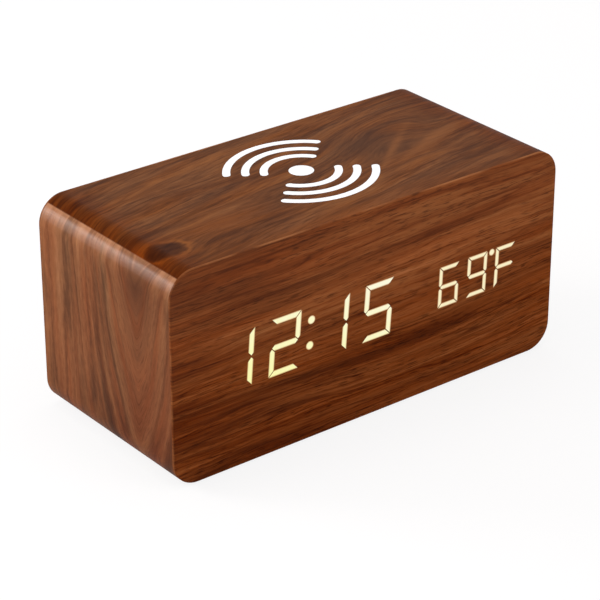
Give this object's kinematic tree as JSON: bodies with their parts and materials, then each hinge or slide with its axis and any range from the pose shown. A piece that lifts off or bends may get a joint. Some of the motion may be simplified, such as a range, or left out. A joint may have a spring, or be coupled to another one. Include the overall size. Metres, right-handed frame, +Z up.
{
  "type": "alarm clock",
  "caption": "Wood-block digital alarm clock with rounded long edges, lit seven-segment digits on its front and a wireless charging pad in its top.",
  "frame": {"origin": "centre of the footprint, on the surface the clock stands on", "axes": "+X to the right seen from the front, +Y to the back (the display faces -Y), +Z up"},
  "size_m": [0.15, 0.068, 0.0705],
  "materials": {
    "walnut_veneer": "satin lacquer",
    "lit_window": "translucent, lit",
    "dark_window": "wood film",
    "foot_rubber": "matte",
    "white_plastic": "satin",
    "black_plastic": "fine texture",
    "button_plastic": "semi gloss",
    "lamp_resin": "clear resin",
    "circuit_board": "solder mask",
    "screw_steel": "zinc",
    "can_metal": "nickel",
    "chip_resin": "matte",
    "coil_copper": "enamelled copper",
    "ferrite_grey": "sintered",
    "capacitor_film": "epoxy",
    "lead_insulation": "soft vinyl",
    "ribbon_grey": "vinyl",
    "sensor_resin": "epoxy"
  },
  "bodies": {
    "case": {"case_sleeve": "walnut_veneer", "front_panel": "walnut_veneer", "rear_panel": "walnut_veneer", "rubber_feet": "foot_rubber", "lit_segments": "lit_window", "unlit_segments": "dark_window", "digit_reflector": "white_plastic", "led_chips": "lamp_resin", "display_board": "circuit_board", "display_screws": "screw_steel", "clock_chip": "chip_resin", "crystal": "can_metal", "alarm_buzzer": "black_plastic", "coil_carrier": "white_plastic", "charging_coil": "coil_copper", "ferrite_plate": "ferrite_grey", "coil_screws": "screw_steel", "charger_board": "circuit_board", "board_posts": "white_plastic", "board_screws": "screw_steel", "charger_chip": "chip_resin", "charger_capacitors": "capacitor_film", "charger_inductor": "ferrite_grey", "coil_leads": "lead_insulation", "control_panel": "black_plastic", "tact_switches": "can_metal", "switch_board": "circuit_board", "switch_screws": "screw_steel", "usb_shell": "can_metal", "usb_tongue": "black_plastic", "microphone": "can_metal", "temperature_sensor": "sensor_resin", "power_leads": "lead_insulation", "ribbon_connectors": "white_plastic", "ribbon_cable": "ribbon_grey", "battery_box": "black_plastic", "contact_plates": "can_metal", "contact_springs": "can_metal", "box_screws": "screw_steel", "battery_leads": "lead_insulation"},
    "set_button": {"set_button": "button_plastic", "set_plunger": "white_plastic"},
    "up_button": {"up_button": "button_plastic", "up_plunger": "white_plastic"},
    "down_button": {"down_button": "button_plastic", "down_plunger": "white_plastic"},
    "battery_door": {"battery_door": "black_plastic"}
  },
  "joints": [
    {"name": "set_press", "type": "slide", "parent": "case", "child": "set_button", "axis": [0, -1, 0], "range_m": [0, 0.0005], "stiffness_N_per_m": 3200},
    {"name": "up_press", "type": "slide", "parent": "case", "child": "up_button", "axis": [0, -1, 0], "range_m": [0, 0.0005], "stiffness_N_per_m": 3200},
    {"name": "down_press", "type": "slide", "parent": "case", "child": "down_button", "axis": [0, -1, 0], "range_m": [0, 0.0005], "stiffness_N_per_m": 3200},
    {"name": "battery_door_swing", "type": "hinge", "parent": "case", "child": "battery_door", "pos_m": [-0.028, 0.0327, 0.017], "axis": [-1, 0, 0], "range_deg": [0, 90]}
  ]
}
